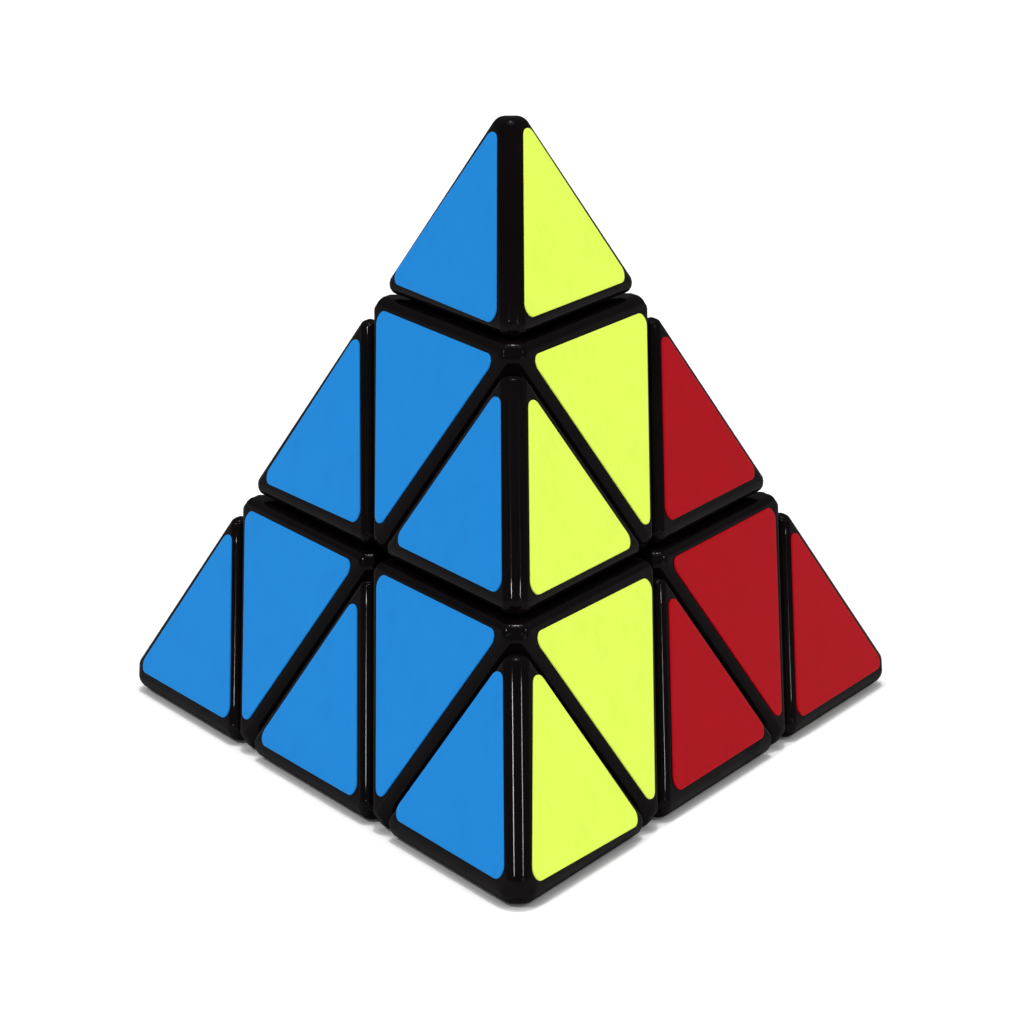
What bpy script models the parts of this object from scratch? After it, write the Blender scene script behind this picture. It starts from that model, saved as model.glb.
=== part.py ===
import bpy
import bmesh
import numpy as np
from itertools import combinations
from math import cos, pi, radians, sin, sqrt
from mathutils import Matrix, Vector

# Driving dimensions, metres.
SHARP_EDGE = 0.1052         # edge of the pyramid if its corners were sharp
TURN_GAP = 0.00025          # each side of a turning plane
ROUND_TIP = 0.0013
ROUND_AXIAL = 0.0016
ROUND_EDGE = 0.0016
APEX_CUT = 0.0053           # taken off each sharp corner
OUTER_WALL = 0.0017
HIDDEN_WALL = 0.0015
RIB_HALF = 0.0008

FOOT_INNER = 0.0117         # spherical shell that holds the edge pieces in
FOOT_OUTER = 0.0152
FOOT_HALF_ANGLE = 32.5
AXIAL_SEAT = 0.0157         # hollow sphere under the axial pieces
SEAT_TOP = 0.0178           # inner side of the wall over the seat

HUB_RADIUS = 0.0069
ARM_RADIUS = 0.0040
ARM_END = 0.0114
PILOT_RADIUS = 0.00165
PILOT_FLOOR = 0.0034

STEM_RADIUS = 0.0040
STEM_START = 0.0118
STEM_BORE = 0.00175
SPRING_SHELF = 0.0172
SPRING_WELL = 0.0038
SNAP_FLOOR = 0.0276
SNAP_WELL = 0.0055
SNAP_ROOF = 0.0329
SNAP_HOLE = 0.0043
COLUMN_RADIUS = 0.0070

SCREW_START = 0.0037
SHANK_RADIUS = 0.0015
HEAD_START = 0.0232
HEAD_END = 0.0255
HEAD_RADIUS = 0.0031

SPRING_MEAN = 0.00255
SPRING_WIRE = 0.00036
SPRING_TURNS = 5

SNAP_END = 0.0288
SNAP_RADIUS = 0.0040
SNAP_BORE = 0.0025
BARB_RADIUS = 0.0049
SLIT_WIDTH = 0.0012

STICKER_LIFT = 0.00003
STICKER_THICK = 0.0002
STICKER_CORNER = 0.0014
TIP_MARGIN_OUTER, TIP_MARGIN_CUT = 0.00274, 0.00186
AXIAL_MARGIN_TIP, AXIAL_MARGIN_EDGE = 0.00176, 0.00144
EDGE_MARGIN_OUTER, EDGE_MARGIN_CUT = 0.00276, 0.00248

HEIGHT = SHARP_EDGE * sqrt(2 / 3)
FACE = HEIGHT / 4           # centre to outer face
LAYER = HEIGHT / 12         # centre to turning plane of a layer
TIP_PLANE = 5 * HEIGHT / 12
APEX = 3 * HEIGHT / 4
STEP = SHARP_EDGE / 3

CORNERS = ("top", "front", "right", "left")
FACES = {"right": "left", "left": "right", "front": "back", "top": "bottom"}
FLAT_RADIUS = 2 * sqrt(2) / 3
DIRECTION = {"top": Vector((0, 0, 1))}
for cornerName, angle in (("front", -90), ("right", 30), ("left", 150)):
    DIRECTION[cornerName] = Vector((FLAT_RADIUS * cos(radians(angle)),
                                    FLAT_RADIUS * sin(radians(angle)), -1 / 3))

COLOURS = {
    "black_plastic": ((0.010, 0.008, 0.009, 1), 0.22, 0.0),
    "core_plastic": ((0.030, 0.030, 0.033, 1), 0.50, 0.0),
    "steel_screw": ((0.62, 0.62, 0.64, 1), 0.28, 1.0),
    "spring_steel": ((0.55, 0.55, 0.57, 1), 0.32, 1.0),
    "sticker_blue": ((0.020, 0.250, 0.694, 1), 0.35, 0.0),
    "sticker_lime": ((0.768, 0.947, 0.117, 1), 0.35, 0.0),
    "sticker_red": ((0.392, 0.008, 0.015, 1), 0.35, 0.0),
    "sticker_green": ((0.012, 0.330, 0.070, 1), 0.35, 0.0),
}
HOME_COLOUR = {"left": "blue", "right": "lime", "back": "red", "bottom": "green"}
TURNED_COLOUR = {"right": "red", "back": "green", "bottom": "lime"}


def clearScene():
    for item in list(bpy.data.objects):
        bpy.data.objects.remove(item, do_unlink=True)


def makeMaterial(name):
    colour, roughness, metallic = COLOURS[name]
    material = bpy.data.materials.new(name)
    material.use_nodes = True
    shader = material.node_tree.nodes["Principled BSDF"]
    shader.inputs["Base Color"].default_value = colour
    shader.inputs["Roughness"].default_value = roughness
    shader.inputs["Metallic"].default_value = metallic
    material.diffuse_color = colour
    return material


def planeCorners(planes):
    """Corner points of the convex solid n.x <= d, each with the planes that meet there."""
    normals = np.array([tuple(n) for n, d in planes])
    offsets = np.array([d for n, d in planes])
    found = []
    for trio in combinations(range(len(planes)), 3):
        trio = list(trio)
        if abs(np.linalg.det(normals[trio])) < 1e-6:
            continue
        point = np.linalg.solve(normals[trio], offsets[trio])
        if np.all(normals @ point <= offsets + 1e-9):
            for place, owners in found:
                if np.linalg.norm(place - point) < 1e-7:
                    owners.update(trio)
                    break
            else:
                found.append((point, set(trio)))
    return found


def hullMesh(points):
    shape = bmesh.new()
    for point in points:
        shape.verts.new(point)
    result = bmesh.ops.convex_hull(shape, input=shape.verts[:])
    spare = [item for item in result["geom_interior"] + result["geom_unused"]
             if isinstance(item, bmesh.types.BMVert)]
    bmesh.ops.delete(shape, geom=list(set(spare)), context="VERTS")
    bmesh.ops.remove_doubles(shape, verts=shape.verts[:], dist=1e-7)
    bmesh.ops.dissolve_limit(shape, angle_limit=radians(0.4), verts=shape.verts[:],
                             edges=shape.edges[:])
    bmesh.ops.recalc_face_normals(shape, faces=shape.faces[:])
    return shape


def roundedSolid(planes, radius, steps=3):
    """Convex solid with every edge rounded to one radius."""
    inner = [(n, d - radius) for n, d in planes]
    corners = planeCorners(inner)
    points = []
    for place, owners in corners:
        normals = [Vector(planes[k][0]).normalized() for k in owners]
        rays = list(normals)
        middle = Vector((0, 0, 0))
        for first, second in combinations(sorted(owners), 2):
            shared = [1 for other, theirs in corners
                      if other is not place and first in theirs and second in theirs]
            if not shared:
                continue
            start, end = Vector(planes[first][0]), Vector(planes[second][0])
            for k in range(1, steps):
                rays.append(start.slerp(end, k / steps))
        for ray in normals:
            middle += ray
        rays.append(middle.normalized())
        points += [Vector(place) + ray * radius for ray in rays]
    return hullMesh(points)


def sharpSolid(planes):
    return hullMesh([Vector(place) for place, owners in planeCorners(planes)])


def frameAlong(axis, side):
    up = Vector(axis).normalized()
    across = (Vector(side) - Vector(side).dot(up) * up).normalized()
    return Matrix((across, up.cross(across), up)).transposed()


def lathe(profile, count, frame):
    """Closed solid of revolution; profile is (radius, height) from the bottom pole to the top pole."""
    shape = bmesh.new()
    rings = []
    for radius, height in profile:
        if radius < 1e-9:
            rings.append([shape.verts.new(frame @ Vector((0, 0, height)))])
            continue
        rings.append([shape.verts.new(frame @ Vector((radius * cos(2 * pi * k / count),
                                                       radius * sin(2 * pi * k / count), height)))
                      for k in range(count)])
    for low, high in zip(rings, rings[1:]):
        for k in range(count):
            after = (k + 1) % count
            if len(low) == 1:
                shape.faces.new((low[0], high[after], high[k]))
            elif len(high) == 1:
                shape.faces.new((low[k], low[after], high[0]))
            else:
                shape.faces.new((low[k], low[after], high[after], high[k]))
    bmesh.ops.recalc_face_normals(shape, faces=shape.faces[:])
    return shape


def cylinder(radius, low, high, count, frame):
    return lathe([(0, low), (radius, low), (radius, high), (0, high)], count, frame)


def sphere(radius, count, frame):
    half = count // 2
    arc = [(radius * sin(pi * k / half), -radius * cos(pi * k / half)) for k in range(half + 1)]
    arc[0], arc[-1] = (0, -radius), (0, radius)
    return lathe(arc, count, frame)


def moved(shape, matrix):
    bmesh.ops.transform(shape, matrix=matrix, verts=shape.verts[:])
    return shape


def asObject(shape, name, split=False):
    if split:
        bmesh.ops.triangulate(shape, faces=shape.faces[:], ngon_method="EAR_CLIP")
    mesh = bpy.data.meshes.new(name)
    shape.to_mesh(mesh)
    shape.free()
    item = bpy.data.objects.new(name, mesh)
    bpy.context.scene.collection.objects.link(item)
    return item


def combine(shape, steps):
    """Runs a list of (operation, solid) on a solid and returns the result."""
    for operation, tool in steps:
        body, helper = asObject(shape, "body", True), asObject(tool, "tool", True)
        change = body.modifiers.new("change", "BOOLEAN")
        change.operation = operation
        change.solver = "MANIFOLD"
        change.object = helper
        bpy.context.view_layer.update()
        solved = body.evaluated_get(bpy.context.evaluated_depsgraph_get())
        shape = bmesh.new()
        shape.from_mesh(solved.to_mesh())
        solved.to_mesh_clear()
        for item in (helper, body):
            bpy.data.objects.remove(item, do_unlink=True)
        bmesh.ops.remove_doubles(shape, verts=shape.verts[:], dist=2e-6)
        bmesh.ops.triangulate(shape, faces=shape.faces[:], ngon_method="EAR_CLIP")
    return shape


def finish(shape, name, material, matrix=None):
    """Turns a solid into a named node with its own material."""
    copy = shape.copy()
    if matrix is not None:
        bmesh.ops.transform(copy, matrix=matrix.to_4x4(), verts=copy.verts[:])
    if copy.calc_volume(signed=True) < 0:
        bmesh.ops.reverse_faces(copy, faces=copy.faces[:])
    item = asObject(copy, name)
    item.data.polygons.foreach_set("use_smooth", [True] * len(item.data.polygons))
    item.data.set_sharp_from_angle(angle=radians(32))
    item.data.materials.append(MATERIALS[material])
    return item


def others(*used):
    return [name for name in CORNERS if name not in used]


TOP_FRAME = frameAlong(DIRECTION["top"], DIRECTION["front"])


def makeCore():
    steps = []
    for name in CORNERS:
        frame = frameAlong(DIRECTION[name], DIRECTION[others(name)[0]])
        steps.append(("UNION", cylinder(ARM_RADIUS, 0.0005, ARM_END, 16, frame)))
    for name in CORNERS:
        frame = frameAlong(DIRECTION[name], DIRECTION[others(name)[0]])
        steps.append(("DIFFERENCE", cylinder(PILOT_RADIUS, PILOT_FLOOR, ARM_END + 0.001, 12, frame)))
    return combine(sphere(HUB_RADIUS, 16, TOP_FRAME), steps)


def makeScrew():
    profile = [(0, SCREW_START), (0.0009, SCREW_START), (SHANK_RADIUS, SCREW_START + 0.0009),
               (SHANK_RADIUS, HEAD_START), (HEAD_RADIUS, HEAD_START),
               (HEAD_RADIUS, HEAD_END - 0.0009), (HEAD_RADIUS - 0.0007, HEAD_END - 0.0002),
               (0.0014, HEAD_END), (0.0009, HEAD_END - 0.0012), (0, HEAD_END - 0.0014)]
    return lathe(profile, 16, TOP_FRAME)


def makeSpring():
    low, high = SPRING_SHELF + 0.00015 + SPRING_WIRE, HEAD_START - 0.00015 - SPRING_WIRE
    around, sides = 10, 4
    count = SPRING_TURNS * around
    shape = bmesh.new()
    rings = []
    for k in range(count + 1):
        share = k / count
        turn = 2 * pi * SPRING_TURNS * share
        rise = low + (high - low) * share
        outward = Vector((cos(turn), sin(turn), 0))
        centre = outward * SPRING_MEAN + Vector((0, 0, rise))
        rings.append([shape.verts.new(centre + SPRING_WIRE * (outward * cos(2 * pi * m / sides)
                                                              + Vector((0, 0, sin(2 * pi * m / sides)))))
                      for m in range(sides)])
    for first, second in zip(rings, rings[1:]):
        for m in range(sides):
            after = (m + 1) % sides
            shape.faces.new((first[m], first[after], second[after], second[m]))
    shape.faces.new(rings[0])
    shape.faces.new(rings[-1])
    bmesh.ops.recalc_face_normals(shape, faces=shape.faces[:])
    return shape


def makeTip():
    up = DIRECTION["top"]
    sides = [DIRECTION[name] for name in others("top")]
    base = TIP_PLANE + TURN_GAP
    body = roundedSolid([(-n, FACE) for n in sides] + [(-up, -base), (up, APEX - APEX_CUT)], ROUND_TIP)
    hollow = sharpSolid([(-n, FACE - OUTER_WALL) for n in sides]
                        + [(-up, -(base + OUTER_WALL)), (up, APEX - APEX_CUT - 0.0035)])
    snap = lathe([(0, SNAP_END), (0.0036, SNAP_END), (BARB_RADIUS, SNAP_END + 0.0024),
                  (BARB_RADIUS, SNAP_ROOF - 0.0004), (SNAP_RADIUS, SNAP_ROOF - 0.0003),
                  (SNAP_RADIUS, base + 0.0008), (0, base + 0.0008)], 20, TOP_FRAME)
    bore = cylinder(SNAP_BORE, SNAP_END - 0.001, base + OUTER_WALL + 0.001, 16, TOP_FRAME)
    steps = [("UNION", snap), ("DIFFERENCE", hollow), ("DIFFERENCE", bore)]
    for spin in (0, 90):
        half = SLIT_WIDTH / 2
        turn = Matrix.Rotation(radians(spin + 7), 3, "Z")
        walls = [(turn @ Vector(n), d) for n, d in (((1, 0, 0), half), ((-1, 0, 0), half),
                                                    ((0, 1, 0), 0.008), ((0, -1, 0), 0.008),
                                                    ((0, 0, 1), base - 0.0012),
                                                    ((0, 0, -1), -(SNAP_END - 0.001)))]
        steps.append(("DIFFERENCE", sharpSolid(walls)))
    return combine(body, steps)


def makeAxial():
    up = DIRECTION["top"]
    sides = [DIRECTION[name] for name in others("top")]
    planes = [(up, TIP_PLANE - TURN_GAP), (-up, -(LAYER + TURN_GAP))]
    planes += [(-n, FACE) for n in sides] + [(n, LAYER - TURN_GAP) for n in sides]
    body = roundedSolid(planes, ROUND_AXIAL)
    well = lathe([(0, STEM_START - 0.001), (STEM_BORE, STEM_START - 0.001), (STEM_BORE, SPRING_SHELF),
                  (SPRING_WELL, SPRING_SHELF), (SPRING_WELL, SNAP_FLOOR), (SNAP_WELL, SNAP_FLOOR),
                  (SNAP_WELL, SNAP_ROOF), (SNAP_HOLE, SNAP_ROOF), (SNAP_HOLE, TIP_PLANE + 0.001),
                  (0, TIP_PLANE + 0.001)], 20, TOP_FRAME)
    steps = [("DIFFERENCE", sphere(AXIAL_SEAT, 24, TOP_FRAME)),
             ("UNION", cylinder(STEM_RADIUS, STEM_START, SPRING_SHELF - 0.0004, 20, TOP_FRAME)),
             ("DIFFERENCE", well)]
    for towards in others("top"):
        near = DIRECTION[towards]
        flanks = [DIRECTION[name] for name in others("top", towards)]
        walls = [(up, SNAP_ROOF), (-up, -(LAYER + TURN_GAP + HIDDEN_WALL)),
                 (near, LAYER - TURN_GAP - HIDDEN_WALL)]
        for flank in flanks:
            walls.append((-flank, FACE - OUTER_WALL))
            side = up.cross(flank).normalized()
            if side.dot(near) > 0:
                side = -side
            walls.append((side, -RIB_HALF))
        pocket = combine(sharpSolid(walls), [("DIFFERENCE", cylinder(COLUMN_RADIUS, 0, 0.04, 12, TOP_FRAME)),
                                             ("DIFFERENCE", sphere(SEAT_TOP, 12, TOP_FRAME))])
        steps.append(("DIFFERENCE", pocket))
        middle = (-flanks[0] * FACE - flanks[1] * FACE + up * APEX + (near - up) * APEX / 3) / 3
        port = cylinder(0.0042, -0.0032, 0.0020, 12, frameAlong(near, up))
        steps.append(("DIFFERENCE", moved(port, Matrix.Translation(middle))))
    return combine(body, steps)


def makeEdge():
    first, second = DIRECTION["top"], DIRECTION["front"]
    sides = [DIRECTION[name] for name in others("top", "front")]
    hidden = LAYER + TURN_GAP
    body = roundedSolid([(-first, -hidden), (-second, -hidden)] + [(-n, FACE) for n in sides], ROUND_EDGE)
    outward = (first + second).normalized()
    frame = frameAlong(outward, first)
    arcs = [FOOT_HALF_ANGLE * k / 3 for k in range(4)]
    profile = [(FOOT_INNER * sin(radians(a)), FOOT_INNER * cos(radians(a))) for a in arcs]
    profile += [(FOOT_OUTER * sin(radians(a)), FOOT_OUTER * cos(radians(a))) for a in reversed(arcs)]
    steps = [("UNION", lathe(profile, 20, frame))]
    for near, far in ((first, second), (second, first)):
        across = (near - far).normalized()
        walls = [(-far, -(hidden + HIDDEN_WALL)), (-across, -RIB_HALF)]
        walls += [(-n, FACE - OUTER_WALL) for n in sides]
        pocket = combine(sharpSolid(walls), [("DIFFERENCE", sphere(SEAT_TOP, 12, frame))])
        steps.append(("DIFFERENCE", pocket))
        middle = (-sides[0] * FACE - sides[1] * FACE + far * APEX + (near - far) * APEX * 2 / 3) / 3
        port = cylinder(0.0034, -0.0020, 0.0032, 12, frameAlong(far, near))
        steps.append(("DIFFERENCE", moved(port, Matrix.Translation(middle))))
    return combine(body, steps)


def insetTriangle(corners, margins, radius, steps):
    """Triangle drawn in by a margin per side (side k is opposite corner k), with rounded corners."""
    normal = (corners[1] - corners[0]).cross(corners[2] - corners[0]).normalized()
    centre = sum(corners, Vector()) / 3
    lines = []
    for k in range(3):
        start, end = corners[(k + 1) % 3], corners[(k + 2) % 3]
        along = (end - start).normalized()
        inward = normal.cross(along)
        lines.append((inward, inward.dot(start) + margins[k] + radius))
    outline = []
    for k in range(3):
        before, after = lines[(k + 2) % 3], lines[(k + 1) % 3]
        rows = np.array([tuple(before[0]), tuple(after[0]), tuple(normal)])
        place = Vector(np.linalg.solve(rows, [before[1], after[1], normal.dot(centre)]))
        for m in range(steps + 1):
            ray = (-after[0]).slerp(-before[0], m / steps)
            outline.append(place + ray * radius)
    return outline, normal


def makeSticker(corners, margins, outward):
    outline, normal = insetTriangle(corners, margins, STICKER_CORNER, 3)
    shape = bmesh.new()
    low = [shape.verts.new(point + outward * STICKER_LIFT) for point in outline]
    high = [shape.verts.new(point + outward * (STICKER_LIFT + STICKER_THICK)) for point in outline]
    shape.faces.new(low)
    shape.faces.new(high)
    for k in range(len(low)):
        after = (k + 1) % len(low)
        shape.faces.new((low[k], low[after], high[after], high[k]))
    bmesh.ops.recalc_face_normals(shape, faces=shape.faces[:])
    return shape


def stickerPlans():
    """(name, piece corners, face, triangle, margins) for all thirty-six stickers."""
    plans = []
    for missing in CORNERS:
        face = FACES[missing]
        centre = -DIRECTION[missing] * FACE
        place = {name: DIRECTION[name] * APEX for name in others(missing)}
        for name in others(missing):
            first, second = others(missing, name)
            cutA = place[name].lerp(place[first], 1 / 3)
            cutB = place[name].lerp(place[second], 1 / 3)
            plans.append(("sticker_tip_%s_on_%s" % (name, face), (name,), face, (place[name], cutA, cutB),
                          (TIP_MARGIN_CUT, TIP_MARGIN_OUTER, TIP_MARGIN_OUTER)))
            plans.append(("sticker_axial_%s_on_%s" % (name, face), (name,), face, (centre, cutA, cutB),
                          (AXIAL_MARGIN_TIP, AXIAL_MARGIN_EDGE, AXIAL_MARGIN_EDGE)))
        for first, second in combinations(others(missing), 2):
            nearFirst = place[first].lerp(place[second], 1 / 3)
            nearSecond = place[second].lerp(place[first], 1 / 3)
            plans.append(("sticker_edge_%s_%s_on_%s" % (first, second, face), (first, second), face,
                          (centre, nearFirst, nearSecond),
                          (EDGE_MARGIN_OUTER, EDGE_MARGIN_CUT, EDGE_MARGIN_CUT)))
    return plans


clearScene()
MATERIALS = {name: makeMaterial(name) for name in COLOURS}

finish(makeCore(), "core", "core_plastic")
shared = {"core_screw": (makeScrew(), "steel_screw"), "spring": (makeSpring(), "spring_steel"),
          "axial": (makeAxial(), "black_plastic"), "tip": (makeTip(), "black_plastic")}
partner = {"top": "front", "front": "top", "right": "left", "left": "right"}
for corner in CORNERS:
    turn = frameAlong(DIRECTION[corner], DIRECTION[partner[corner]]) @ TOP_FRAME.transposed()
    for kind, (solid, material) in shared.items():
        finish(solid, "%s_%s" % (kind, corner), material, turn)

edgeSolid = makeEdge()
homeFrame = frameAlong(DIRECTION["top"] + DIRECTION["front"], DIRECTION["top"])
for firstCorner, secondCorner in combinations(CORNERS, 2):
    here = frameAlong(DIRECTION[firstCorner] + DIRECTION[secondCorner], DIRECTION[firstCorner])
    finish(edgeSolid, "edge_%s_%s" % (firstCorner, secondCorner), "black_plastic",
           here @ homeFrame.transposed())

for label, pieceCorners, face, triangle, margins in stickerPlans():
    facing = -DIRECTION[[name for name in CORNERS if FACES[name] == face][0]]
    colour = TURNED_COLOUR[face] if "right" in pieceCorners else HOME_COLOUR[face]
    finish(makeSticker([Vector(point) for point in triangle], margins, facing), label, "sticker_" + colour)

print("nodes", len(bpy.data.objects), "triangles",
      sum(len(polygon.vertices) - 2 for item in bpy.data.objects for polygon in item.data.polygons))
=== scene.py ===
import bmesh
import bpy
import numpy as np
from itertools import combinations
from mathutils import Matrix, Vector


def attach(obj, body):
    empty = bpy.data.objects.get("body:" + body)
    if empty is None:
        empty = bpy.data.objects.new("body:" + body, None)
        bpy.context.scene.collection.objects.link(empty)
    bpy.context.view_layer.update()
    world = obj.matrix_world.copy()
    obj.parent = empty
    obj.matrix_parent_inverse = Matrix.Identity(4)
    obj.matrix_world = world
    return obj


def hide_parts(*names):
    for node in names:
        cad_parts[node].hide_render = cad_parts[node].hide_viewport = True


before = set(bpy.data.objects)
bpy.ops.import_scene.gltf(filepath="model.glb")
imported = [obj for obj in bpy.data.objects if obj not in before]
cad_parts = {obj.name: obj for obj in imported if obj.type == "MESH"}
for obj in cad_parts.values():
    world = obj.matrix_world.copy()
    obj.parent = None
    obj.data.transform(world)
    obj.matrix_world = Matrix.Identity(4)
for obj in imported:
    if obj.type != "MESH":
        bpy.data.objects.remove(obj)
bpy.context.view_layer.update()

# The four turning axes meet at the origin; all lengths in metres.
puzzle = {
    "sharpEdge": 0.1052,       # edge of the pyramid before its corners are rounded
    "gap": 0.00025,            # each side of a turning plane
    "longSteps": 18,           # grid steps along a long edge
    "shortSteps": 3,
    "roundSteps": 8,           # grid steps round an edge
    "shortEdge": 0.006,        # edges under this length get the short steps
    "faceSweep": 56,           # half the angle of a long edge seen from its face's middle, in degrees
    "weld": 1.5e-6, "sliver": 1e-7,
    "capShares": (0, 0.5, 0.97, 1),          # rows of a flat face, from its middle to its border
    "holedShares": (0, 0.05, 0.5, 0.97, 1),  # the same where the face has a hole or stem
}
height = puzzle["sharpEdge"] * np.sqrt(2 / 3)
faceOut, apexOut = height / 4, 3 * height / 4
layerPlane, tipPlane = height / 12, 5 * height / 12

corners = ("top", "front", "right", "left")
faceOpposite = {"right": "left", "left": "right", "front": "back", "top": "bottom"}
flat = 2 * np.sqrt(2) / 3
axis = {"top": np.array((0.0, 0.0, 1.0))}
for corner, angle in (("front", -90), ("right", 30), ("left", 150)):
    way = np.radians(angle)
    axis[corner] = np.array((flat * np.cos(way), flat * np.sin(way), -1 / 3))


def others(*used):
    return [corner for corner in corners if corner not in used]


def unit(vectors):
    return vectors / np.linalg.norm(vectors, axis=-1, keepdims=True)


def smooth(t):
    return t * t * (3 - 2 * t)


def arc(start, end, t):
    # turning evenly from one direction to another: (sin((1-t)w) start + sin(t w) end) / sin(w)
    wide = np.arccos(np.clip(start @ end, -1, 1))
    t = np.asarray(t)[..., None]
    return (np.sin((1 - t) * wide) * start + np.sin(t * wide) * end) / np.sin(wide)


def turnBetween(fromAxis, fromSide, toAxis, toSide):
    # rotation that takes one axis and side direction to another
    def triad(up, side):
        up = unit(up)
        across = unit(side - (side @ up) * up)
        return np.column_stack((across, np.cross(up, across), up))
    return triad(toAxis, toSide) @ triad(fromAxis, fromSide).T


partner = {"top": "front", "front": "top", "right": "left", "left": "right"}
cornerTurn = {c: turnBetween(axis["top"], axis["front"], axis[c], axis[partner[c]]) for c in corners}
edgePairs = list(combinations(corners, 2))
edgeTurn = {}
for a, b in edgePairs:
    edgeTurn[(a, b)] = turnBetween(axis["top"] + axis["front"], axis["top"], axis[a] + axis[b], axis[a])


# Meshes from grids

def meshFromGrids(name, grids, turn=None, creaseAngle=34):
    # each grid is rows x columns of points; neighbours make quads, and doubled points are welded
    points, faces, start = [], [], 0
    for grid in grids:
        rows, columns = grid.shape[:2]
        index = start + np.arange(rows * columns).reshape(rows, columns)
        quads = np.stack((index[:-1, :-1], index[:-1, 1:], index[1:, 1:], index[1:, :-1]), -1)
        faces.append(quads.reshape(-1, 4))
        points.append(grid.reshape(-1, 3))
        start += rows * columns
    points = np.concatenate(points)
    if turn is not None:
        points = points @ turn.T
    mesh = bpy.data.meshes.new(name)
    mesh.from_pydata(points.tolist(), [], np.concatenate(faces).tolist())
    work = bmesh.new()
    work.from_mesh(mesh)
    bmesh.ops.remove_doubles(work, verts=work.verts[:], dist=puzzle["weld"])
    bmesh.ops.dissolve_degenerate(work, dist=puzzle["sliver"], edges=work.edges[:])
    bmesh.ops.recalc_face_normals(work, faces=work.faces[:])
    if work.calc_volume(signed=True) < 0:
        bmesh.ops.reverse_faces(work, faces=work.faces[:])
    work.to_mesh(mesh)
    work.free()
    mesh.polygons.foreach_set("use_smooth", [True] * len(mesh.polygons))
    mesh.set_sharp_from_angle(angle=np.radians(creaseAngle))
    item = bpy.data.objects.new(name, mesh)
    bpy.context.scene.collection.objects.link(item)
    return item


def closedColumns(grid):
    return np.concatenate((grid, grid[:, :1]), axis=1)


def lathe(profile, columns=48):
    # profile of (radius, height) carried round the z axis: (r cos a, r sin a, h)
    turns = np.linspace(0, 2 * np.pi, columns + 1)
    r, h = np.array(profile)[:, 0, None], np.array(profile)[:, 1, None]
    return np.stack((r * np.cos(turns), r * np.sin(turns), h + 0 * turns), -1)


# Rounded pieces between planes

def solidCorners(normals, offsets):
    # corner points of the space inside all planes, each with the three planes that meet there
    found, owners = [], []
    for trio in combinations(range(len(normals)), 3):
        rows = normals[list(trio)]
        if abs(np.linalg.det(rows)) < 1e-6:
            continue
        point = np.linalg.solve(rows, offsets[list(trio)])
        if np.all(normals @ point <= offsets + 1e-9):
            found.append(point)
            owners.append(set(trio))
    return np.array(found), owners


def stepsFor(length):
    # even angles as seen from the middle of a triangular face, so that long edges and rings agree
    if length < puzzle["shortEdge"]:
        return np.linspace(0, 1, puzzle["shortSteps"] + 1)
    sweep = np.radians(puzzle["faceSweep"])
    turn = np.linspace(-sweep, sweep, puzzle["longSteps"] + 1)
    return 0.5 + np.tan(turn) / (2 * np.tan(sweep))


def roundedGrids(planes, faceGrid=None):
    # planes are (outward normal, distance, rounding). The planes are moved in by their rounding,
    # and flat faces, edges (corner point + radius x turning direction) and corners (the same on
    # a ball) are grown from what is left
    normals = unit(np.array([p[0] for p in planes]))
    out = np.array([p[1] for p in planes])
    radius = np.array([p[2] for p in planes])
    places, owners = solidCorners(normals, out - radius)
    t = np.linspace(0, 1, puzzle["roundSteps"] + 1)
    grids = []

    def edgeRadius(a, b, t):
        return radius[a] + (radius[b] - radius[a]) * smooth(t)

    for a, b in combinations(range(len(planes)), 2):
        ends = [k for k, mine in enumerate(owners) if a in mine and b in mine]
        if len(ends) != 2:
            continue
        start, end = places[ends[0]], places[ends[1]]
        along = start + (end - start) * stepsFor(np.linalg.norm(end - start))[:, None]
        ray = arc(normals[a], normals[b], t) * edgeRadius(a, b, t)[:, None]
        grids.append(along[:, None, :] + ray[None, :, :])
    for place, mine in zip(places, owners):
        middle = unit(normals[list(mine)].sum(0))
        middleRadius = radius[list(mine)].mean()
        for a, b in combinations(sorted(mine), 2):
            rim = arc(normals[a], normals[b], t)
            s = t[:, None, None]
            ray = unit((1 - s) * middle + s * rim[None])
            reach = middleRadius + (edgeRadius(a, b, t)[None, :] - middleRadius) * smooth(t)[:, None]
            grids.append(place + ray * reach[..., None])
    for k in range(len(planes)):
        mine = [m for m, has in enumerate(owners) if k in has]
        if len(mine) < 3:
            continue
        middle = places[mine].mean(0)
        across = unit(places[mine[0]] - middle)
        over = np.cross(normals[k], across)
        bearing = {m: np.arctan2((places[m] - middle) @ over, (places[m] - middle) @ across) for m in mine}
        mine.sort(key=bearing.get)
        border = []
        for m, after in zip(mine, mine[1:] + mine[:1]):
            start, end = places[m], places[after]
            border.append((start + (end - start) * stepsFor(np.linalg.norm(end - start))[:, None])[:-1])
        border = np.concatenate(border) + normals[k] * radius[k]
        middle = border.mean(0)
        made = faceGrid(k, border, normals[k]) if faceGrid else None
        if made is None:
            made = [spread(middle + 0 * border, border, puzzle["capShares"])]
        grids += [closedColumns(grid) for grid in made]
    return grids


def spread(inner, outer, shares):
    # rows between two rings of points: inner + (outer - inner) x share
    shares = np.array(shares)[:, None, None]
    return inner[None] + (outer - inner)[None] * shares


def rings(border, middle, normal, profile):
    # rings round the face's own normal: middle + r x direction of the border point + h x normal
    ray = unit(border - middle)
    return np.array([middle + ray * r + normal * h for r, h in profile])


# Tips

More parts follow.
